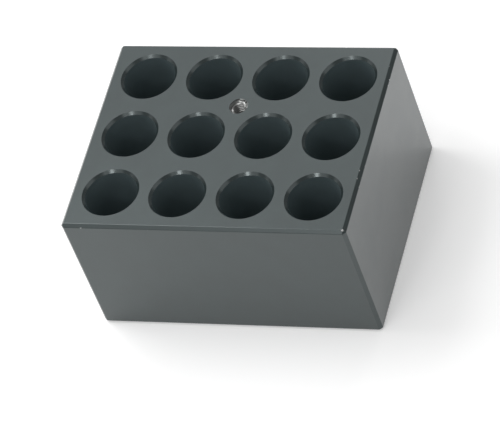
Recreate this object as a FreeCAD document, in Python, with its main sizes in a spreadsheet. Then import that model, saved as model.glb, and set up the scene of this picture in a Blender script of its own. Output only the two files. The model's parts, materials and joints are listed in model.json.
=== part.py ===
"""Heating block of a dry block heater: a machined aluminium block with tube wells.

The origin is the middle of the underside. X runs along the width, Y towards the back and Z up.
"""

import FreeCAD, Part
import math
import os

import Sketcher
from FreeCAD import Vector

# Driving dimensions: alias, value in millimetres (degrees for angles) and meaning.
DIMENSIONS = (
    ("block_width", 95.0, "left side to right side"),
    ("block_depth", 76.0, "front to back"),
    ("block_height", 50.0, "underside to top"),
    ("edge_chamfer", 1.0, "leg of the chamfer on every outer edge"),
    ("well_columns", 4, "wells across the width"),
    ("well_rows", 3, "wells from front to back"),
    ("well_margin_side", 13.5, "left or right side to the nearest well axis"),
    ("well_margin_front", 13.9, "front or back to the nearest well axis"),
    ("well_bore", 17.3, "diameter of a well"),
    ("well_mouth_chamfer", 0.85, "leg of the chamfer at a well's mouth"),
    ("well_floor", 5.0, "metal left under the tip of a well's drill point"),
    ("drill_angle", 118.0, "included angle of the drill points"),
    ("thread_nominal", 5.0, "nominal diameter of the lifting thread"),
    ("thread_pitch", 0.8, "pitch of the lifting thread"),
    ("insert_length", 7.5, "length of the thread insert"),
    ("insert_setback", 0.4, "top face down to the top of the thread insert"),
    ("insert_end_angle", 100.0, "direction of the wire's upper end, turned from the right to the back"),
    ("insert_clearance", 0.03, "gap between the insert's wire and its tapped groove"),
    ("relief_depth", 1.2, "depth of the plain relief around the insert's top turn"),
    ("relief_gap", 0.08, "radial gap between the insert's wire and the relief"),
    ("tap_lead_turns", 1, "whole turns of tapped groove above the insert, inside the relief"),
    ("tap_runout_turns", 1, "whole turns of tapped groove below the insert"),
    ("drill_runout", 4.5, "straight hole left below the insert"),
)

# Sketch references: the axes, and the start, end and centre of a curve.
X_AXIS = -1
Y_AXIS = -2
START = 1
END = 2
CENTRE = 3
ORIGIN = (X_AXIS, START)

# Distances between the outermost well axes: the wells at the edges keep their margins.
WELLS_ACROSS = "(Dimensions.block_width - 2 * Dimensions.well_margin_side)"
WELLS_BACK = "(Dimensions.block_depth - 2 * Dimensions.well_margin_front)"

# The lifting hole lies on the middle of the width, midway between the last two rows of wells.
LIFT_Y = f"({WELLS_BACK} / 2 - {WELLS_BACK} / (Dimensions.well_rows - 1) / 2)"

# Sections of the insert's wire and of its groove. Radii are measured from the nominal thread in
# heights of the sharp thread triangle, and half widths along the axis in pitches.
TRIANGLE = "(Dimensions.thread_pitch * cos(30 deg))"
WIRE_OUTER = f"(Dimensions.thread_nominal / 2 + 0.75 * {TRIANGLE})"
WIRE_OUTER_HALF = "Dimensions.thread_pitch * 0.0625"
WIRE_MIDDLE = "Dimensions.thread_nominal / 2"
WIRE_MIDDLE_HALF = "Dimensions.thread_pitch * 0.4375"
WIRE_STOCK = f"(Dimensions.thread_nominal / 2 - 0.7 * {TRIANGLE})"
WIRE_STOCK_HALF = "Dimensions.thread_pitch * 0.0875"
THREAD_CREST = f"(Dimensions.thread_nominal / 2 - 0.625 * {TRIANGLE})"
TAP_DRILL = f"(Dimensions.thread_nominal + 0.25 * {TRIANGLE})"
GROOVE_FLOOR = f"({WIRE_OUTER} + Dimensions.insert_clearance)"
GROOVE_FLOOR_HALF = f"({WIRE_OUTER_HALF} + Dimensions.insert_clearance * tan(30 deg))"
GROOVE_MOUTH_HALF = f"({WIRE_MIDDLE_HALF} + Dimensions.insert_clearance / cos(30 deg))"

# The wire's centre line: its upper end, its climb, the turn that brings the end to its direction,
# and the start of the groove, whole turns below the wire's end.
WIRE_TOP = f"(Dimensions.block_height - Dimensions.insert_setback - {WIRE_MIDDLE_HALF})"
WIRE_CLIMB = f"(Dimensions.insert_length - 2 * {WIRE_MIDDLE_HALF})"
WIRE_ANGLE = f"(Dimensions.insert_end_angle - 360 * {WIRE_CLIMB} / Dimensions.thread_pitch)"
TURNS_BELOW_END = "(ceil(Dimensions.insert_length / Dimensions.thread_pitch) + Dimensions.tap_runout_turns)"
GROOVE_START = (
    f"({WIRE_TOP} - Dimensions.thread_pitch * (Dimensions.insert_end_angle / 360 + {TURNS_BELOW_END}))"
)


def add_dimensions(document):
    """Write the driving dimensions into a sheet, one row each."""
    sheet = document.addObject("Spreadsheet::Sheet", "Dimensions")
    for row, (alias, value, meaning) in enumerate(DIMENSIONS, start=1):
        sheet.set(f"A{row}", meaning)
        sheet.set(f"B{row}", str(value))
        sheet.setAlias(f"B{row}", alias)
    document.recompute()


def add_body(document, label):
    """Add an empty body under its own label."""
    body = document.addObject("PartDesign::Body", label)
    body.Label = label
    return body


def add_sketch(body, name, role, **offsets):
    """Add a sketch on one of the body's origin planes, shifted by expressions in its own axes."""
    plane = next(part for part in body.Origin.OriginFeatures if part.Role == role)
    sketch = body.newObject("Sketcher::SketchObject", name)
    sketch.AttachmentSupport = [(plane, "")]
    sketch.MapMode = "FlatFace"
    for axis, expression in offsets.items():
        sketch.setExpression(f"AttachmentOffset.Base.{axis}", expression)
    return sketch


def constrain(sketch, name, expression, *constraint):
    """Add a named sketch dimension, given with a rough value, and bind it to an expression."""
    index = sketch.addConstraint(Sketcher.Constraint(*constraint))
    sketch.renameConstraint(index, name)
    sketch.setExpression(f"Constraints.{name}", expression)


def draw_polygon(sketch, points):
    """Draw a closed outline of straight lines and return the index of each line."""
    ends = points[1:] + points[:1]
    lines = [sketch.addGeometry(Part.LineSegment(start, end)) for start, end in zip(points, ends)]
    for line, following in zip(lines, lines[1:] + lines[:1]):
        sketch.addConstraint(Sketcher.Constraint("Coincident", line, END, following, START))
    return lines


def draw_thread_section(sketch, corners):
    """Draw a section, even about its middle, from named radii and half widths, inside to outside."""
    lower_side = [Vector(2 + step / 2, -0.2, 0) for step in range(len(corners))]
    upper_side = [Vector(point.x, 0.2, 0) for point in reversed(lower_side)]
    lines = draw_polygon(sketch, lower_side + upper_side)
    for step, (name, radius, half_width) in enumerate(corners):
        lower = lines[step]
        upper = lines[-1 - step]
        sketch.addConstraint(Sketcher.Constraint("Symmetric", lower, START, upper, START, X_AXIS))
        constrain(sketch, f"{name}_radius", radius, "DistanceX", *ORIGIN, upper, START, 2 + step / 2)
        constrain(sketch, f"{name}_half_width", half_width, "DistanceY", *ORIGIN, upper, START, 0.2)


def add_block_blank(body):
    """Pad the block's outline and chamfer all its edges."""
    outline = add_sketch(body, "BlockOutline", "XY_Plane")
    corners = [Vector(-40, -30, 0), Vector(40, -30, 0), Vector(40, 30, 0), Vector(-40, 30, 0)]
    front, right, back, left = draw_polygon(outline, corners)
    for line in (front, back):
        outline.addConstraint(Sketcher.Constraint("Horizontal", line))
    for line in (right, left):
        outline.addConstraint(Sketcher.Constraint("Vertical", line))
    outline.addConstraint(Sketcher.Constraint("Symmetric", front, START, back, START, *ORIGIN))
    constrain(outline, "width", "Dimensions.block_width", "DistanceX", front, START, front, END, 80)
    constrain(outline, "depth", "Dimensions.block_depth", "DistanceY", right, START, right, END, 60)

    blank = body.newObject("PartDesign::Pad", "Blank")
    blank.Profile = outline
    blank.setExpression("Length", "Dimensions.block_height")
    body.Document.recompute()

    edges = [f"Edge{number}" for number in range(1, len(blank.Shape.Edges) + 1)]
    chamfer = body.newObject("PartDesign::Chamfer", "EdgeChamfer")
    chamfer.Base = (blank, edges)
    chamfer.setExpression("Size", "Dimensions.edge_chamfer")
    body.Document.recompute()


def drill_hole(body, name, centre, diameter, depth):
    """Drill a straight hole with a drill point at the sketch's circle."""
    hole = body.newObject("PartDesign::Hole", name)
    hole.Profile = centre
    hole.DepthType = "Dimension"
    hole.DrillPoint = "Angled"
    hole.setExpression("Diameter", diameter)
    hole.setExpression("Depth", depth)
    hole.setExpression("DrillPointAngle", "Dimensions.drill_angle * 1 deg")
    hole.HoleCutCustomValues = True
    return hole


def add_wells(body):
    """Drill the front left well, chamfer its mouth and repeat it over the grid."""
    centre = add_sketch(body, "WellCentre", "XY_Plane", z="Dimensions.block_height")
    circle = centre.addGeometry(Part.Circle(Vector(-34, -24, 0), Vector(0, 0, 1), 8))
    constrain(centre, "bore", "Dimensions.well_bore", "Diameter", circle, 16)
    constrain(centre, "left_of_middle", f"{WELLS_ACROSS} / 2", "DistanceX", circle, CENTRE, *ORIGIN, 34)
    constrain(centre, "before_middle", f"{WELLS_BACK} / 2", "DistanceY", circle, CENTRE, *ORIGIN, 24)

    drill_tip = "Dimensions.well_bore / 2 / tan(Dimensions.drill_angle * 0.5 deg)"
    depth = f"Dimensions.block_height - Dimensions.well_floor - {drill_tip}"
    mouth = "Dimensions.well_bore + 2 * Dimensions.well_mouth_chamfer"
    well = drill_hole(body, "Well", centre, "Dimensions.well_bore", depth)
    well.HoleCutType = "Countersink"
    well.setExpression("HoleCutDiameter", mouth)
    body.Document.recompute()

    grid = body.newObject("PartDesign::LinearPattern", "WellGrid")
    grid.Originals = [well]
    grid.Direction = (centre, ["H_Axis"])
    grid.Mode = "Extent"
    grid.setExpression("Length", WELLS_ACROSS)
    grid.setExpression("Occurrences", "Dimensions.well_columns")
    grid.Direction2 = (centre, ["V_Axis"])
    grid.Mode2 = "Extent"
    grid.setExpression("Length2", WELLS_BACK)
    grid.setExpression("Occurrences2", "Dimensions.well_rows")
    body.Tip = grid
    body.Document.recompute()


def add_lifting_hole(body):
    """Drill the lifting hole, relieve its mouth and tap the groove that the insert's wire lies in."""
    centre = add_sketch(body, "LiftingHoleCentre", "XY_Plane", z="Dimensions.block_height")
    circle = centre.addGeometry(Part.Circle(Vector(0, 12, 0), Vector(0, 0, 1), 3))
    centre.addConstraint(Sketcher.Constraint("PointOnObject", circle, CENTRE, Y_AXIS))
    constrain(centre, "diameter", TAP_DRILL, "Diameter", circle, 6)
    constrain(centre, "behind_middle", LIFT_Y, "DistanceY", *ORIGIN, circle, CENTRE, 12)
    depth = "Dimensions.insert_setback + Dimensions.insert_length + Dimensions.drill_runout"
    hole = drill_hole(body, "LiftingHole", centre, TAP_DRILL, depth)
    hole.HoleCutType = "Counterbore"
    hole.setExpression("HoleCutDiameter", f"2 * ({WIRE_OUTER} + Dimensions.relief_gap)")
    hole.setExpression("HoleCutDepth", "Dimensions.relief_depth")
    body.Document.recompute()

    section = add_sketch(body, "GrooveSection", "XZ_Plane", y=GROOVE_START, z=f"-{LIFT_Y}")
    corners = (
        ("mouth", WIRE_MIDDLE, GROOVE_MOUTH_HALF),
        ("floor", GROOVE_FLOOR, GROOVE_FLOOR_HALF),
    )
    draw_thread_section(section, corners)
    groove = body.newObject("PartDesign::SubtractiveHelix", "TappedGroove")
    groove.Profile = section
    groove.ReferenceAxis = (section, ["V_Axis"])
    groove.Mode = "pitch-turns-angle"
    groove.setExpression("Pitch", "Dimensions.thread_pitch")
    groove.setExpression("Turns", f"{TURNS_BELOW_END} + Dimensions.tap_lead_turns")
    body.Document.recompute()


def add_heating_block(document):
    """Build the block: a chamfered blank, the tube wells and the lifting hole."""
    body = add_body(document, "heating_block")
    add_block_blank(body)
    add_wells(body)
    add_lifting_hole(body)
    return body


def draw_quartered_circle(sketch, radius):
    """Draw a circle round the origin as four quarter arcs."""
    circle = Part.Circle(Vector(0, 0, 0), Vector(0, 0, 1), 2)
    quarter = math.pi / 2
    arcs = [
        sketch.addGeometry(Part.ArcOfCircle(circle, number * quarter, (number + 1) * quarter))
        for number in range(4)
    ]
    axes = (X_AXIS, Y_AXIS, X_AXIS, Y_AXIS)
    for arc, following, axis in zip(arcs, arcs[1:] + arcs[:1], axes):
        sketch.addConstraint(Sketcher.Constraint("Coincident", arc, END, following, START))
        sketch.addConstraint(Sketcher.Constraint("PointOnObject", arc, START, axis))
    for arc in arcs[:-1]:
        sketch.addConstraint(Sketcher.Constraint("Coincident", arc, CENTRE, *ORIGIN))
    sketch.addConstraint(Sketcher.Constraint("Equal", arcs[0], arcs[-1]))
    constrain(sketch, "radius", radius, "Radius", arcs[0], 2)


def add_thread_insert(document):
    """Build the thread insert: a helix of wire whose inner crests are cut to the thread's bore."""
    body = add_body(document, "thread_insert")
    section = add_sketch(body, "WireSection", "XZ_Plane")
    corners = (
        ("stock", WIRE_STOCK, WIRE_STOCK_HALF),
        ("middle", WIRE_MIDDLE, WIRE_MIDDLE_HALF),
        ("outer", WIRE_OUTER, WIRE_OUTER_HALF),
    )
    draw_thread_section(section, corners)
    coil = body.newObject("PartDesign::AdditiveHelix", "Coil")
    coil.Profile = section
    coil.ReferenceAxis = (section, ["V_Axis"])
    coil.Mode = "pitch-height-angle"
    coil.setExpression("Pitch", "Dimensions.thread_pitch")
    coil.setExpression("Height", WIRE_CLIMB)
    document.recompute()

    outline = add_sketch(body, "CrestOutline", "XY_Plane")
    draw_quartered_circle(outline, THREAD_CREST)
    crests = body.newObject("PartDesign::Pocket", "CrestBore")
    crests.Profile = outline
    crests.SideType = "Symmetric"
    crests.Refine = False
    crests.setExpression("Length", "4 * Dimensions.insert_length")
    body.setExpression("Placement.Base.y", LIFT_Y)
    body.setExpression("Placement.Base.z", f"{WIRE_TOP} - {WIRE_CLIMB}")
    body.setExpression("Placement.Rotation.Angle", f"{WIRE_ANGLE} * 1 deg")
    document.recompute()
    return body


def main():
    document = FreeCAD.newDocument("HeatingBlock")
    add_dimensions(document)
    parts = [add_heating_block(document), add_thread_insert(document)]
    document.recompute()

    failed = [item.Label for item in document.Objects if {"Invalid", "Error"} & set(item.State)]
    if failed:
        raise RuntimeError(f"features failed: {failed}")
    for part in parts:
        if part.Shape.isNull() or not part.Shape.isValid():
            raise RuntimeError(f"{part.Label} has no valid shape")

    os.makedirs("parts", exist_ok=True)
    for part in parts:
        part.Shape.exportStep(f"parts/{part.Label}.step")
        print(part.Label, "volume", round(part.Shape.Volume, 2), "mm3, faces", len(part.Shape.Faces))


main()
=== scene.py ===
"""Looks of a heating block: dark anodised aluminium with twelve tube wells and a wire thread insert."""

import json
import math

import bmesh
import bpy
from bpy.props import FloatProperty, FloatVectorProperty, IntProperty, PointerProperty
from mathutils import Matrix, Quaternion, Vector


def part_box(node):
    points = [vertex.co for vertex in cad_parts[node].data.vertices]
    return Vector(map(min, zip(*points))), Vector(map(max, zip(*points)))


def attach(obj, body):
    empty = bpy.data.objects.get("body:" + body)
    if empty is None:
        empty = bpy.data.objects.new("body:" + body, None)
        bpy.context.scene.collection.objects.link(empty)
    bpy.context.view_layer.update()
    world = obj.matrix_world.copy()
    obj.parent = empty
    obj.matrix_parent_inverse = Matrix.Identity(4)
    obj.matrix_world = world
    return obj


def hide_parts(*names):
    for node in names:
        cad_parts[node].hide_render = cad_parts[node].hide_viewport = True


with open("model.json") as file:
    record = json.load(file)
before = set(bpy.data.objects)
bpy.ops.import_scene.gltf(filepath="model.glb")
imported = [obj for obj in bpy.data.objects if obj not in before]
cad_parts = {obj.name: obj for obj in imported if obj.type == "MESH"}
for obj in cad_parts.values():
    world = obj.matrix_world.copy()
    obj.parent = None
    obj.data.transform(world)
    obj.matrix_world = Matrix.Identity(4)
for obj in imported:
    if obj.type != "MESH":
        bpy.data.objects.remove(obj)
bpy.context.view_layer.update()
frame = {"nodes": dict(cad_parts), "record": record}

bl_info = {
    "name": "Heating block",
    "version": (1, 0, 0),
    "blender": (4, 5, 0),
    "location": "View3D > Sidebar > Heating block",
    "description": "Builds an anodised heating block with twelve tube wells and a wire thread insert",
    "category": "Object",
}

MM = 0.001
UP = Vector((0, 0, 1))
WHITE = (1, 1, 1, 1)
WELD = 0.5e-6                     # points of a mesh that lie closer than this become one
LEVEL = 1e-6                      # heights that differ by less than this count as the same
BLOCK_CREASE = math.radians(8)    # an edge of the block that turns by more than this stays sharp
WIRE_CREASE = math.radians(25)    # the same for the wire
TURNED, BORED, CUT = 1, 2, 3      # places in the block's list of materials, which starts with its skin
NOISE_RANGE = (0.3, 0.7)          # nearly all values of a noise lie in this range
PICTURE_WIDTH = 36                # millimetres, the width that the camera's focal length refers to
FLOOR_REACH = 6                   # from the middle of the floor to each side
FLOOR_DROP = 0.02 * MM            # from the block's underside down to the floor


# Measures taken from the frame

def mounts_of(kind):
    """The record's mounts of one kind."""
    return [mount for mount in frame["record"]["mounts"] if mount["kind"] == kind]


def base_colour(slot):
    """The colour that the record gives a material slot."""
    return next(m["base_color"] for m in frame["record"]["materials"] if m["slot"] == slot)


def points_near(axis, reach):
    """The CAD block's points within reach of an upright axis."""
    points = [vertex.co for vertex in frame["nodes"]["heating_block"].data.vertices]
    return [p for p in points if (p.xy - axis.xy).length < reach]


def mouth_radius(axis, reach):
    """Radius of the hole's ring in the block's top face."""
    return min((p.xy - axis.xy).length for p in points_near(axis, reach) if p.z > BLOCK_HIGH.z - LEVEL)


BLOCK_LOW, BLOCK_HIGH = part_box("heating_block")
BLOCK_SIZE = BLOCK_HIGH - BLOCK_LOW
BLOCK_MIDDLE = (BLOCK_LOW + BLOCK_HIGH) / 2
INSERT_LOW, INSERT_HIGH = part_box("thread_insert")
WELL_AXES = [Vector(mount["pos_m"]) for mount in mounts_of("bore")]
WELL_SIZE = mounts_of("bore")[0]["dims"]
LIFT_AXIS = Vector(mounts_of("threaded_hole")[0]["pos_m"])
LIFT_SIZE = mounts_of("threaded_hole")[0]["dims"]

# Reaches that take in the mouth of a hole but none of its neighbours
WELL_REACH = 1.4 * WELL_SIZE["r_mm"] * MM
LIFT_REACH = 1.7 * LIFT_SIZE["r_mm"] * MM

TOP_POINTS = [p for p in points_near(BLOCK_MIDDLE, BLOCK_SIZE.length) if p.z > BLOCK_HIGH.z - LEVEL]
CHAMFER = BLOCK_HIGH.x - max(p.x for p in TOP_POINTS)


# Settings that a user would change

class BlockSettings(bpy.types.PropertyGroup):
    """Sizes of the machined block"""

    edge_chamfer: FloatProperty(
        name="Edge chamfer", description="Leg of the chamfer on each outer edge",
        default=CHAMFER, unit="LENGTH")
    edge_break: FloatProperty(
        name="Edge break", description="Width of the small round that deburring leaves on each sharp edge",
        default=0.12 * MM, unit="LENGTH")
    mouth_radius: FloatProperty(
        name="Mouth radius", description="Radius of a well's chamfered mouth in the top face",
        default=mouth_radius(WELL_AXES[0], WELL_REACH), unit="LENGTH")
    bore_radius: FloatProperty(
        name="Bore radius", description="Radius of a well's straight wall",
        default=WELL_SIZE["r_mm"] * MM, unit="LENGTH")
    wall_top: FloatProperty(
        name="Wall top", description="Height at which a well's straight wall ends and its chamfer starts",
        default=WELL_AXES[0].z + WELL_SIZE["length_mm"] * MM / 2, unit="LENGTH")
    wall_foot: FloatProperty(
        name="Wall foot", description="Height at which a well's straight wall meets its conical floor",
        default=WELL_AXES[0].z - WELL_SIZE["length_mm"] * MM / 2, unit="LENGTH")
    well_tip: FloatProperty(
        name="Well tip", description="Height of the lowest point of a well's conical floor",
        default=min(p.z for p in points_near(WELL_AXES[0], WELL_REACH)), unit="LENGTH")
    nick_size: FloatProperty(
        name="Nick size", description="Radius of the bare spot at the upper front right corner",
        default=0.45 * MM, unit="LENGTH")
    nick_depth: FloatProperty(
        name="Nick depth", description="How much of the upper front right corner a knock has flattened",
        default=0.16 * MM, unit="LENGTH")
    well_steps: IntProperty(
        name="Well steps", description="Flats that make up one turn of a well's wall",
        default=96, min=12)


class LiftingHoleSettings(bpy.types.PropertyGroup):
    """Sizes of the lifting hole and its wire thread insert"""

    relief_radius: FloatProperty(
        name="Relief radius", description="Radius of the plain relief at the hole's mouth",
        default=mouth_radius(LIFT_AXIS, LIFT_REACH), unit="LENGTH")
    relief_depth: FloatProperty(
        name="Relief depth", description="Depth of the plain relief below the top face",
        default=1.2 * MM, unit="LENGTH")
    seat_gap: FloatProperty(
        name="Seat gap", description="Room between the wire and the wall that it lies against",
        default=0.03 * MM, unit="LENGTH")
    drill_radius: FloatProperty(
        name="Drill radius", description="Radius of the plain hole below the insert",
        default=2.587 * MM, unit="LENGTH")
    drill_foot: FloatProperty(
        name="Drill foot", description="Height at which the plain hole meets its drill point",
        default=37.6 * MM, unit="LENGTH")
    drill_tip: FloatProperty(
        name="Drill tip", description="Height of the drill point's tip",
        default=min(p.z for p in points_near(LIFT_AXIS, LIFT_REACH)), unit="LENGTH")
    pitch: FloatProperty(
        name="Pitch", description="Climb of the wire in one turn",
        default=0.8 * MM, unit="LENGTH")
    crest_radius: FloatProperty(
        name="Crest radius", description="Radius of the wire's inner crest, the thread's minor radius",
        default=LIFT_SIZE["r_mm"] * MM, unit="LENGTH")
    crest_width: FloatProperty(
        name="Crest width", description="Width of the flat on the wire's inner crest",
        default=0.2 * MM, unit="LENGTH")
    waist_radius: FloatProperty(
        name="Waist radius", description="Radius at which the wire is widest, the thread's nominal radius",
        default=2.5 * MM, unit="LENGTH")
    waist_width: FloatProperty(
        name="Waist width", description="Width of the wire where it is widest",
        default=0.7 * MM, unit="LENGTH")
    root_width: FloatProperty(
        name="Root width", description="Width of the flat on the wire's outer side",
        default=0.1 * MM, unit="LENGTH")
    end_angle: FloatProperty(
        name="End angle", description="Where the wire's upper end lies, counted from the X axis",
        default=math.radians(100), unit="ROTATION")
    turn_steps: IntProperty(
        name="Turn steps", description="Flats that make up one turn of the wire",
        default=72, min=12)


class FinishSettings(bpy.types.PropertyGroup):
    """Colours and gloss of the surfaces"""

    anodised: FloatVectorProperty(
        name="Anodised skin", description="Colour that the dark anodised skin reflects",
        default=base_colour("anodised_aluminium"), subtype="COLOR", min=0, max=1)
    anodised_metallic: FloatProperty(
        name="Skin metal", description="Share of the skin's light that is reflected as from metal",
        default=0.5, subtype="FACTOR", min=0, max=1)
    anodised_roughness: FloatProperty(
        name="Skin roughness", description="How far the satin skin spreads a reflection",
        default=0.35, subtype="FACTOR", min=0, max=1)
    seal: FloatProperty(
        name="Seal", description="Weight of the clear seal over the skin, which shines most at flat angles",
        default=0.7, subtype="FACTOR", min=0, max=1)
    seal_roughness: FloatProperty(
        name="Seal roughness", description="How far the clear seal spreads a reflection",
        default=0.25, subtype="FACTOR", min=0, max=1)
    turned_roughness: FloatProperty(
        name="Turned roughness", description="Roughness of the chamfers turned at the wells' mouths",
        default=0.2, subtype="FACTOR", min=0, max=1)
    # Lighter than the outer skin: partly the matt bore's own colour, partly painted light that stands in
    # for glare lifting the dark wells
    bored: FloatVectorProperty(
        name="Bored wall", description="Colour of the matt skin inside the wells",
        default=(0.13, 0.172, 0.182), subtype="COLOR", min=0, max=1)
    bored_metallic: FloatProperty(
        name="Bored metal", description="Share of the bored wall's light that is reflected as from metal",
        default=0.3, subtype="FACTOR", min=0, max=1)
    bare: FloatVectorProperty(
        name="Bare metal", description="Colour of the aluminium where a knock has chipped the skin",
        default=(0.7, 0.7, 0.69), subtype="COLOR", min=0, max=1)
    bare_roughness: FloatProperty(
        name="Bare roughness", description="Roughness of the chipped aluminium",
        default=0.3, subtype="FACTOR", min=0, max=1)
    cut: FloatVectorProperty(
        name="Cut metal", description="Colour of the aluminium in the lifting hole, cut after anodising",
        default=(0.55, 0.56, 0.56), subtype="COLOR", min=0, max=1)
    chip_level: FloatProperty(
        name="Chip level", description="The higher this is, the fewer chips the edges have",
        default=1.14)
    wire: FloatVectorProperty(
        name="Drawn wire", description="Colour of the stainless wire",
        default=base_colour("stainless_wire"), subtype="COLOR", min=0, max=1)
    wire_roughness: FloatProperty(
        name="Wire roughness", description="How far the drawn wire spreads a reflection",
        default=0.22, subtype="FACTOR", min=0, max=1)
    floor: FloatVectorProperty(
        name="Floor", description="Colour of the pale floor under the block",
        default=(0.88, 0.88, 0.88), subtype="COLOR", min=0, max=1)
    floor_glow: FloatProperty(
        name="Floor glow", description="White added to the floor as the camera and reflections see it",
        default=0.3, min=0, max=1)


class StudioSettings(bpy.types.PropertyGroup):
    """Camera and lights"""

    aim: FloatVectorProperty(
        name="Aim", description="Point at the middle of the picture",
        default=(0.176 * MM, -7.654 * MM, 18.854 * MM), subtype="TRANSLATION", unit="LENGTH")
    distance: FloatProperty(
        name="Distance", description="From the camera to the aim point",
        default=1.2512, unit="LENGTH")
    azimuth: FloatProperty(
        name="Azimuth", description="Camera's way round the block, to the right of its front",
        default=math.radians(31.206), unit="ROTATION")
    elevation: FloatProperty(
        name="Elevation", description="Camera's height above the horizon",
        default=math.radians(47.205), unit="ROTATION")
    roll: FloatProperty(
        name="Roll", description="Turn of the camera about its own view axis",
        default=math.radians(-22.619), unit="ROTATION")
    lens: FloatProperty(
        name="Lens", description="Focal length in millimetres on a 36 mm wide picture",
        default=281.1)
    world_level: FloatProperty(
        name="Surround", description="Brightness of the even light from all round",
        default=0.27, min=0)
    overhead_level: FloatProperty(
        name="Overhead softboxes", description="Brightness of the softboxes above the block",
        default=5.4, min=0)
    back_level: FloatProperty(
        name="Back softboxes", description="Brightness of the softboxes behind the block",
        default=1.34, min=0)
    side_level: FloatProperty(
        name="Side softboxes", description="Brightness of the softboxes beside the block",
        default=0.63, min=0)
    front_level: FloatProperty(
        name="Front softboxes", description="Brightness of the softboxes in front of the block",
        default=0.61, min=0)


class HeatingBlockSettings(bpy.types.PropertyGroup):
    """All settings of the heating block and its studio"""

    block: PointerProperty(type=BlockSettings)
    lifting: PointerProperty(type=LiftingHoleSettings)
    finish: PointerProperty(type=FinishSettings)
    studio: PointerProperty(type=StudioSettings)


# Shapes

def spin_profile(mesh, profile, axis, steps, finishes):
    """Turns a profile of (radius, height) corners round an upright axis, each run with its finish."""
    old = set(mesh.faces)
    corners = [mesh.verts.new((axis.x + radius, axis.y, height)) for radius, height in profile]
    edges = [mesh.edges.new(pair) for pair in zip(corners, corners[1:])]
    bmesh.ops.spin(mesh, geom=corners + edges, cent=axis, axis=UP, dvec=(0, 0, 0),
                   angle=math.tau, steps=steps, use_merge=True)
    for face in set(mesh.faces) - old:
        height = face.calc_center_median().z
        run = sum(height < corner for _, corner in profile[1:-1])
        face.material_index = finishes[min(run, len(finishes) - 1)]


def nick_corner(sizes):
    """Where the top face meets the two chamfers at the block's upper front right corner."""
    return Vector((BLOCK_HIGH.x, BLOCK_LOW.y, BLOCK_HIGH.z)) + sizes.edge_chamfer * Vector((-1, 1, 0))


def flatten_nick(mesh, sizes):
    """Cuts the nicked corner flat, square to a knock from the front right and above."""
    out = Vector((1, -1, 2)).normalized()
    bmesh.ops.bisect_plane(mesh, geom=mesh.verts[:] + mesh.edges[:] + mesh.faces[:], clear_outer=True,
                           plane_co=nick_corner(sizes) - out * sizes.nick_depth, plane_no=out)
    bmesh.ops.holes_fill(mesh, edges=[edge for edge in mesh.edges if edge.is_boundary], sides=0)


def chamfered_blank(sizes):
    """The sawn block with a chamfer on each edge, deburred, nicked, and open at the top."""
    mesh = bmesh.new()
    bmesh.ops.create_cube(mesh, size=1)
    bmesh.ops.scale(mesh, vec=BLOCK_SIZE, verts=mesh.verts)
    bmesh.ops.translate(mesh, vec=BLOCK_MIDDLE, verts=mesh.verts)
    for width, segments in ((sizes.edge_chamfer, 1), (sizes.edge_break, 2)):
        bmesh.ops.bevel(mesh, geom=mesh.edges[:], offset=width, affect="EDGES",
                        segments=segments, profile=0.5, material=-1)
    flatten_nick(mesh, sizes)
    top = max(mesh.faces, key=lambda face: face.calc_center_median().z)
    bmesh.ops.delete(mesh, geom=[top], context="FACES_ONLY")
    return mesh


def well_profile(sizes):
    """Half section of a well from its mouth to the tip of its floor."""
    return [
        (sizes.mouth_radius, BLOCK_HIGH.z),
        (sizes.bore_radius, sizes.wall_top),
        (sizes.bore_radius, sizes.wall_foot),
        (0, sizes.well_tip),
    ]


def lifting_hole_profile(sizes):
    """Half section of the lifting hole from its relief to its drill point."""
    relief_floor = BLOCK_HIGH.z - sizes.relief_depth
    seat_radius = (INSERT_HIGH.x - INSERT_LOW.x) / 2 + sizes.seat_gap
    seat_foot = INSERT_LOW.z - sizes.pitch
    return [
        (sizes.relief_radius, BLOCK_HIGH.z),
        (sizes.relief_radius, relief_floor),
        (seat_radius, relief_floor),
        (seat_radius, seat_foot),
        (sizes.drill_radius, seat_foot),
        (sizes.drill_radius, sizes.drill_foot),
        (0, sizes.drill_tip),
    ]


def close_top(mesh):
    """Fills the top face between the block's edge and the mouths of its holes."""
    rim = [edge for edge in mesh.edges if edge.is_boundary]
    bmesh.ops.triangle_fill(mesh, use_beauty=True, use_dissolve=False, edges=rim, normal=UP)


def wire_section(mesh, sizes):
    """Closed section of the wire at its upper end, the same on both sides of its middle."""
    middle = INSERT_HIGH.z - sizes.waist_width / 2
    root_radius = (INSERT_HIGH.x - INSERT_LOW.x) / 2
    half = [
        (sizes.crest_radius, sizes.crest_width / 2),
        (sizes.waist_radius, sizes.waist_width / 2),
        (root_radius, sizes.root_width / 2),
    ]
    outline = half + [(radius, -height) for radius, height in reversed(half)]
    out = Vector((math.cos(sizes.end_angle), math.sin(sizes.end_angle), 0))
    foot = Vector((LIFT_AXIS.x, LIFT_AXIS.y, middle))
    corners = [mesh.verts.new(foot + out * radius + UP * height) for radius, height in outline]
    edges = [mesh.edges.new(pair) for pair in zip(corners, corners[1:] + corners[:1])]
    return corners + edges


def wound_wire(sizes):
    """The insert's wire, wound down from its upper end and closed at both ends."""
    mesh = bmesh.new()
    turns = (INSERT_HIGH.z - INSERT_LOW.z - sizes.waist_width) / sizes.pitch
    steps = round(turns * sizes.turn_steps)
    drop = -UP * sizes.pitch * turns / steps
    bmesh.ops.spin(mesh, geom=wire_section(mesh, sizes), cent=LIFT_AXIS, axis=-UP, dvec=drop,
                   angle=math.tau * turns, steps=steps)
    bmesh.ops.holes_fill(mesh, edges=mesh.edges, sides=0)
    return mesh


def add_object(name, data):
    """A new object in the scene, at the origin."""
    item = bpy.data.objects.new(name, data)
    bpy.context.scene.collection.objects.link(item)
    return item


def add_mesh(mesh, name, materials):
    """A shaped mesh as an object in the scene, with its materials."""
    data = bpy.data.meshes.new(name)
    mesh.to_mesh(data)
    mesh.free()
    for material in materials:
        data.materials.append(material)
    return add_object(name, data)


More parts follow.
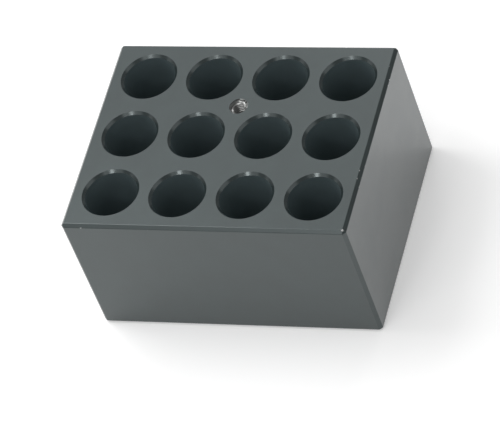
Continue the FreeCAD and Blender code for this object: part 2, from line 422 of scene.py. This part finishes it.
def finish_piece(mesh, name, node, materials, crease):
    """Makes a shaped mesh the piece that stands for a CAD node."""
    bmesh.ops.remove_doubles(mesh, verts=mesh.verts, dist=WELD)
    bmesh.ops.recalc_face_normals(mesh, faces=mesh.faces)
    for face in mesh.faces:
        face.smooth = True
    for edge in mesh.edges:
        edge.smooth = edge.calc_face_angle() < crease
    piece = add_mesh(mesh, name, materials)
    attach(piece, "root")
    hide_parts(node)


# Materials

def new_material(name, colour, metallic, roughness):
    """A node material with its tree and shader, and the values that are the same all over."""
    material = bpy.data.materials.new(name)
    material.use_nodes = True
    shader = material.node_tree.nodes["Principled BSDF"]
    shader.inputs["Base Color"].default_value = (*colour, 1)
    shader.inputs["Metallic"].default_value = metallic
    shader.inputs["Roughness"].default_value = roughness
    return material, material.node_tree, shader


def add_node(tree, kind, inputs=(), **values):
    """A node of one kind, with its settings and the links or values of its inputs."""
    node = tree.nodes.new("ShaderNode" + kind)
    for name, value in values.items():
        setattr(node, name, value)
    for socket, value in dict(inputs).items():
        if isinstance(value, bpy.types.NodeSocket):
            tree.links.new(value, node.inputs[socket])
        else:
            node.inputs[socket].default_value = value
    return node


def calculate(tree, operation, *terms):
    """Result of one step of arithmetic on links and numbers."""
    return add_node(tree, "Math", enumerate(terms), operation=operation).outputs[0]


def object_place(tree):
    """A point's place on its own object."""
    return add_node(tree, "TexCoord").outputs["Object"]


def noise(tree, place, size, stretch=(1, 1, 1), detail=2.0, roughness=0.5):
    """Noise from 0 to 1 whose spots are about as wide as size, drawn out along an axis by its stretch."""
    scale = [1 / (size * share) for share in stretch]
    mapped = add_node(tree, "Mapping", {"Vector": place, "Scale": scale}).outputs[0]
    inputs = {"Vector": mapped, "Scale": 1.0, "Detail": detail, "Roughness": roughness}
    return add_node(tree, "TexNoise", inputs).outputs[0]


def spread(tree, value, low, high, start=0.0, end=1.0):
    """A value from low to high moved smoothly to the range from start to end."""
    inputs = {"Value": value, "From Min": low, "From Max": high, "To Min": start, "To Max": end}
    return add_node(tree, "MapRange", inputs, interpolation_type="SMOOTHSTEP").outputs[0]


def vary(tree, value, middle, swing):
    """A noise moved to the range that reaches as far as swing to each side of a middle."""
    return spread(tree, value, *NOISE_RANGE, middle - swing, middle + swing)


def add_bump(tree, shader, height, strength, depth):
    """Fine relief in a surface, as deep as depth where the height goes from 0 to 1."""
    bump = add_node(tree, "Bump", {"Strength": strength, "Distance": depth, "Height": height})
    tree.links.new(bump.outputs[0], shader.inputs["Normal"])


def distance_to_edge(tree, place):
    """How far a point of the block lies from the nearest sharp edge of the bar that it was cut from."""
    half = BLOCK_SIZE / 2
    centred = add_node(tree, "Mapping", {"Vector": place, "Location": -BLOCK_MIDDLE}).outputs[0]
    axes = add_node(tree, "SeparateXYZ", {0: centred}).outputs
    inset = [calculate(tree, "SUBTRACT", half[i], calculate(tree, "ABSOLUTE", axes[i])) for i in range(3)]
    nearer = calculate(tree, "MINIMUM", inset[0], inset[1])
    farther = calculate(tree, "MAXIMUM", inset[0], inset[1])
    return calculate(tree, "MAXIMUM", nearer, calculate(tree, "MINIMUM", farther, inset[2]))


def corner_nick(tree, place, sizes):
    """Mask of the nick at the block's upper front right corner."""
    notch = 0.3 * MM
    soft_rim = 1.2
    spot = {0: place, 1: nick_corner(sizes)}
    away = add_node(tree, "VectorMath", spot, operation="DISTANCE").outputs["Value"]
    notches = spread(tree, noise(tree, place, notch), *NOISE_RANGE, start=0.0, end=notch)
    ragged = calculate(tree, "ADD", away, notches)
    return spread(tree, ragged, sizes.nick_size, sizes.nick_size * soft_rim, start=1.0, end=0.0)


def worn_specks(tree, place, sizes, finish):
    """Mask of the specks along the upper edges where knocks have chipped the skin."""
    edge_band = 0.35 * MM
    all_depth, no_depth = 2 * MM, 4 * MM
    group_share, edge_share, soft_rim = 0.5, 0.12, 0.02
    edge = distance_to_edge(tree, place)
    off_edge = calculate(tree, "ABSOLUTE", calculate(tree, "SUBTRACT", edge, sizes.edge_chamfer))
    near = spread(tree, off_edge, low=0.0, high=edge_band, start=1.0, end=0.0)
    chips = noise(tree, place, size=0.9 * MM, detail=3)
    groups = noise(tree, place, size=14 * MM, detail=1)
    level = calculate(tree, "ADD", chips, calculate(tree, "MULTIPLY", groups, group_share))
    level = calculate(tree, "ADD", level, calculate(tree, "MULTIPLY", near, edge_share))
    chipped = spread(tree, level, finish.chip_level, finish.chip_level + soft_rim, start=0.0, end=2.0)
    height = add_node(tree, "SeparateXYZ", {0: place}).outputs[2]
    upper = spread(tree, height, BLOCK_HIGH.z - no_depth, BLOCK_HIGH.z - all_depth)
    specks = calculate(tree, "MULTIPLY", chipped, calculate(tree, "MULTIPLY", near, upper))
    return calculate(tree, "MAXIMUM", specks, corner_nick(tree, place, sizes))


def satin_skin(tree, shader, place, colour, roughness):
    """Grain and faint tool lines in an anodised surface, and its mottled colour and roughness."""
    grain_share = 0.6
    grain = noise(tree, place, size=0.16 * MM, detail=3, roughness=0.6)
    mottle = noise(tree, place, size=9 * MM, detail=4)
    lines = noise(tree, place, size=0.22 * MM, stretch=(120, 120, 1))
    shade = calculate(tree, "MULTIPLY", vary(tree, mottle, 1, 0.05), vary(tree, grain, 1, 0.07))
    skin = add_node(tree, "VectorMath", {0: colour, "Scale": shade}, operation="SCALE").outputs[0]
    satin = vary(tree, mottle, roughness, 0.02)
    height = calculate(tree, "ADD", calculate(tree, "MULTIPLY", grain, grain_share),
                       calculate(tree, "MULTIPLY", lines, 1 - grain_share))
    add_bump(tree, shader, height, strength=0.35, depth=0.006 * MM)
    return skin, satin


def link_looks(tree, shader, colour, roughness):
    """Gives a shader the colour and roughness that differ over its surface."""
    tree.links.new(colour, shader.inputs["Base Color"])
    tree.links.new(roughness, shader.inputs["Roughness"])


def seal_over(shader, weight, roughness):
    """Lays the clear seal over a skin."""
    shader.inputs["Coat Weight"].default_value = weight
    shader.inputs["Coat Roughness"].default_value = roughness


def anodised_material(finish, sizes):
    """Dark satin skin of the block's outside, chipped to bare metal along its upper edges."""
    material, tree, shader = new_material(
        "anodised_aluminium", finish.anodised, finish.anodised_metallic, finish.anodised_roughness)
    place = object_place(tree)
    skin, satin = satin_skin(tree, shader, place, finish.anodised, finish.anodised_roughness)
    seal_over(shader, finish.seal, finish.seal_roughness)
    chips = worn_specks(tree, place, sizes, finish)
    # A Mix node's inputs are 0 for the share, 2 and 3 for two numbers, and 6 and 7 for two colours
    colour = add_node(tree, "Mix", {0: chips, 6: skin, 7: (*finish.bare, 1)}, data_type="RGBA")
    rough = add_node(tree, "Mix", {0: chips, 2: satin, 3: finish.bare_roughness})
    link_looks(tree, shader, colour.outputs[2], rough.outputs[0])
    return material


def turned_material(finish):
    """The same skin on the smoother chamfers that are turned at the mouths of the wells."""
    material, tree, shader = new_material(
        "turned_chamfer", finish.anodised, finish.anodised_metallic, finish.turned_roughness)
    looks = satin_skin(tree, shader, object_place(tree), finish.anodised, finish.turned_roughness)
    seal_over(shader, finish.seal, finish.turned_roughness)
    link_looks(tree, shader, *looks)
    return material


def bored_wall_and_glare_material(finish):
    """Matt skin of the bored walls and floors of the wells, its colour lifted partly as painted light that
    stands in for glare in the dark wells.
    """
    material, tree, shader = new_material(
        "bored_wall_and_painted_glare", finish.bored, finish.bored_metallic, finish.anodised_roughness)
    looks = satin_skin(tree, shader, object_place(tree), finish.bored, finish.anodised_roughness)
    link_looks(tree, shader, *looks)
    return material


def cut_material(finish):
    """Bare aluminium of the lifting hole, with fine rings from the drill and the tap."""
    material, tree, shader = new_material("cut_aluminium", finish.cut, 1.0, finish.bare_roughness)
    rings = noise(tree, object_place(tree), size=0.08 * MM, stretch=(60, 60, 1))
    add_bump(tree, shader, rings, strength=0.4, depth=0.004 * MM)
    return material


def wire_material(finish):
    """Bright drawn stainless wire with fine lines along its length."""
    material, tree, shader = new_material("stainless_wire", finish.wire, 1.0, finish.wire_roughness)
    lines = noise(tree, object_place(tree), size=0.03 * MM, stretch=(40, 40, 1))
    tree.links.new(vary(tree, lines, finish.wire_roughness, 0.05), shader.inputs["Roughness"])
    add_bump(tree, shader, lines, strength=0.3, depth=0.002 * MM)
    return material


def floor_material(finish):
    """Plain pale floor, a little lighter to the camera and in reflections."""
    material, tree, shader = new_material("pale_floor", finish.floor, 0.0, 1.0)
    shader.inputs["Specular IOR Level"].default_value = 0
    shader.inputs["Emission Color"].default_value = WHITE
    path = add_node(tree, "LightPath").outputs
    seen = calculate(tree, "MAXIMUM", path["Is Camera Ray"], path["Is Glossy Ray"])
    seen = calculate(tree, "MAXIMUM", seen, path["Is Transmission Ray"])
    glow = calculate(tree, "MULTIPLY", seen, finish.floor_glow)
    tree.links.new(glow, shader.inputs["Emission Strength"])
    return material


# Stage

def add_floor(finish):
    """A wide floor just below the block's underside."""
    mesh = bmesh.new()
    bmesh.ops.create_grid(mesh, x_segments=1, y_segments=1, size=FLOOR_REACH)
    bmesh.ops.translate(mesh, vec=-UP * FLOOR_DROP, verts=mesh.verts)
    floor = add_mesh(mesh, "floor", [floor_material(finish)])


def direction(bearing, elevation):
    """Unit vector at a bearing counted from the block's front to its right, and at an elevation."""
    level = math.cos(elevation)
    return Vector((math.sin(bearing) * level, -math.cos(bearing) * level, math.sin(elevation)))


def add_camera(studio):
    """The camera at the photograph's viewing angle."""
    data = bpy.data.cameras.new("camera")
    data.lens = studio.lens
    data.sensor_width = PICTURE_WIDTH
    data.clip_start = 0.01
    camera = add_object("camera", data)
    back = direction(studio.azimuth, studio.elevation)
    camera.location = Vector(studio.aim) + back * studio.distance
    camera.rotation_mode = "QUATERNION"
    camera.rotation_quaternion = (-back).to_track_quat("-Z", "Y") @ Quaternion((0, 0, 1), studio.roll)
    bpy.context.scene.camera = camera


def add_world(level):
    """Even pale light from all round."""
    world = bpy.data.worlds.new("studio")
    world.use_nodes = True
    background = world.node_tree.nodes["Background"]
    background.inputs["Color"].default_value = WHITE
    background.inputs["Strength"].default_value = level
    bpy.context.scene.world = world


def add_softbox(name, bearing, elevation, distance, size, level):
    """A square softbox that faces the block, with an even brightness of level all over."""
    data = bpy.data.lights.new(name, "AREA")
    data.shape = "SQUARE"
    data.size = size
    data.energy = level * math.pi * size ** 2
    softbox = add_object(name, data)
    away = direction(math.radians(bearing), math.radians(elevation))
    softbox.location = BLOCK_MIDDLE + away * distance
    softbox.rotation_mode = "QUATERNION"
    softbox.rotation_quaternion = (-away).to_track_quat("-Z", "Y")


def add_softboxes(studio):
    """The softboxes round the block, each facing its middle."""
    for name, bearing, elevation, distance, size, level in (
        ("left_overhead_softbox", -103, 57, 0.6, 0.3, studio.overhead_level),
        ("front_overhead_softbox", -5, 65, 0.7, 0.5, studio.overhead_level * 0.24),
        ("back_softbox", 180, 30, 0.8, 0.5, studio.back_level),
        ("back_left_softbox", 211, 47, 0.8, 0.5, studio.back_level * 0.68),
        ("left_softbox", -90, 32, 0.8, 0.5, studio.side_level * 0.8),
        ("right_softbox", 90, 30, 0.8, 0.5, studio.side_level),
        ("front_softbox", -26, 36, 0.8, 0.5, studio.front_level),
        ("small_front_softbox", -8.5, 39, 0.8, 0.12, studio.front_level * 12.5),
    ):
        add_softbox(name, bearing, elevation, distance, size, level)


class AddBlock(bpy.types.Operator):
    """Adds the anodised block with its wells and its lifting hole"""

    bl_idname = "heating_block.add_block"
    bl_label = "Add block"

    def execute(self, context):
        settings = context.scene.heating_block
        steps = settings.block.well_steps
        mesh = chamfered_blank(settings.block)
        for axis in WELL_AXES:
            spin_profile(mesh, well_profile(settings.block), axis, steps, (TURNED, BORED))
        spin_profile(mesh, lifting_hole_profile(settings.lifting), LIFT_AXIS, steps, (CUT,))
        close_top(mesh)
        finish = settings.finish
        materials = [anodised_material(finish, settings.block), turned_material(finish),
                     bored_wall_and_glare_material(finish), cut_material(finish)]
        finish_piece(mesh, "anodised_block", "heating_block",
                     materials, BLOCK_CREASE)
        return {"FINISHED"}


class AddInsert(bpy.types.Operator):
    """Adds the wire thread insert in the lifting hole"""

    bl_idname = "heating_block.add_insert"
    bl_label = "Add thread insert"

    def execute(self, context):
        settings = context.scene.heating_block
        mesh = wound_wire(settings.lifting)
        finish_piece(mesh, "wire_insert", "thread_insert",
                     [wire_material(settings.finish)], WIRE_CREASE)
        return {"FINISHED"}


class AddStudio(bpy.types.Operator):
    """Adds the floor, the lights and the camera"""

    bl_idname = "heating_block.add_studio"
    bl_label = "Add studio"

    def execute(self, context):
        settings = context.scene.heating_block
        add_floor(settings.finish)
        add_world(settings.studio.world_level)
        add_softboxes(settings.studio)
        add_camera(settings.studio)
        context.scene.view_settings.view_transform = "Standard"
        return {"FINISHED"}


class HeatingBlockPanel(bpy.types.Panel):
    """Lists the block's settings and the steps that build it"""

    bl_idname = "VIEW3D_PT_heating_block"
    bl_label = "Heating block"
    bl_space_type = "VIEW_3D"
    bl_region_type = "UI"
    bl_category = "Heating block"

    def draw(self, context):
        settings = context.scene.heating_block
        for group in (settings.block, settings.lifting, settings.finish, settings.studio):
            box = self.layout.box()
            for name in group.bl_rna.properties.keys():
                if name not in ("rna_type", "name"):
                    box.prop(group, name)
        for operator in STEPS:
            self.layout.operator(operator.bl_idname)


GROUPS = (BlockSettings, LiftingHoleSettings, FinishSettings, StudioSettings, HeatingBlockSettings)
STEPS = (AddBlock, AddInsert, AddStudio)


def register():
    for group in (*GROUPS, *STEPS, HeatingBlockPanel):
        bpy.utils.register_class(group)
    bpy.types.Scene.heating_block = PointerProperty(type=HeatingBlockSettings)


def unregister():
    del bpy.types.Scene.heating_block
    for group in reversed((*GROUPS, *STEPS, HeatingBlockPanel)):
        bpy.utils.unregister_class(group)


def main():
    register()
    bpy.ops.heating_block.add_block()
    bpy.ops.heating_block.add_insert()
    bpy.ops.heating_block.add_studio()


if __name__ == "__main__":
    main()
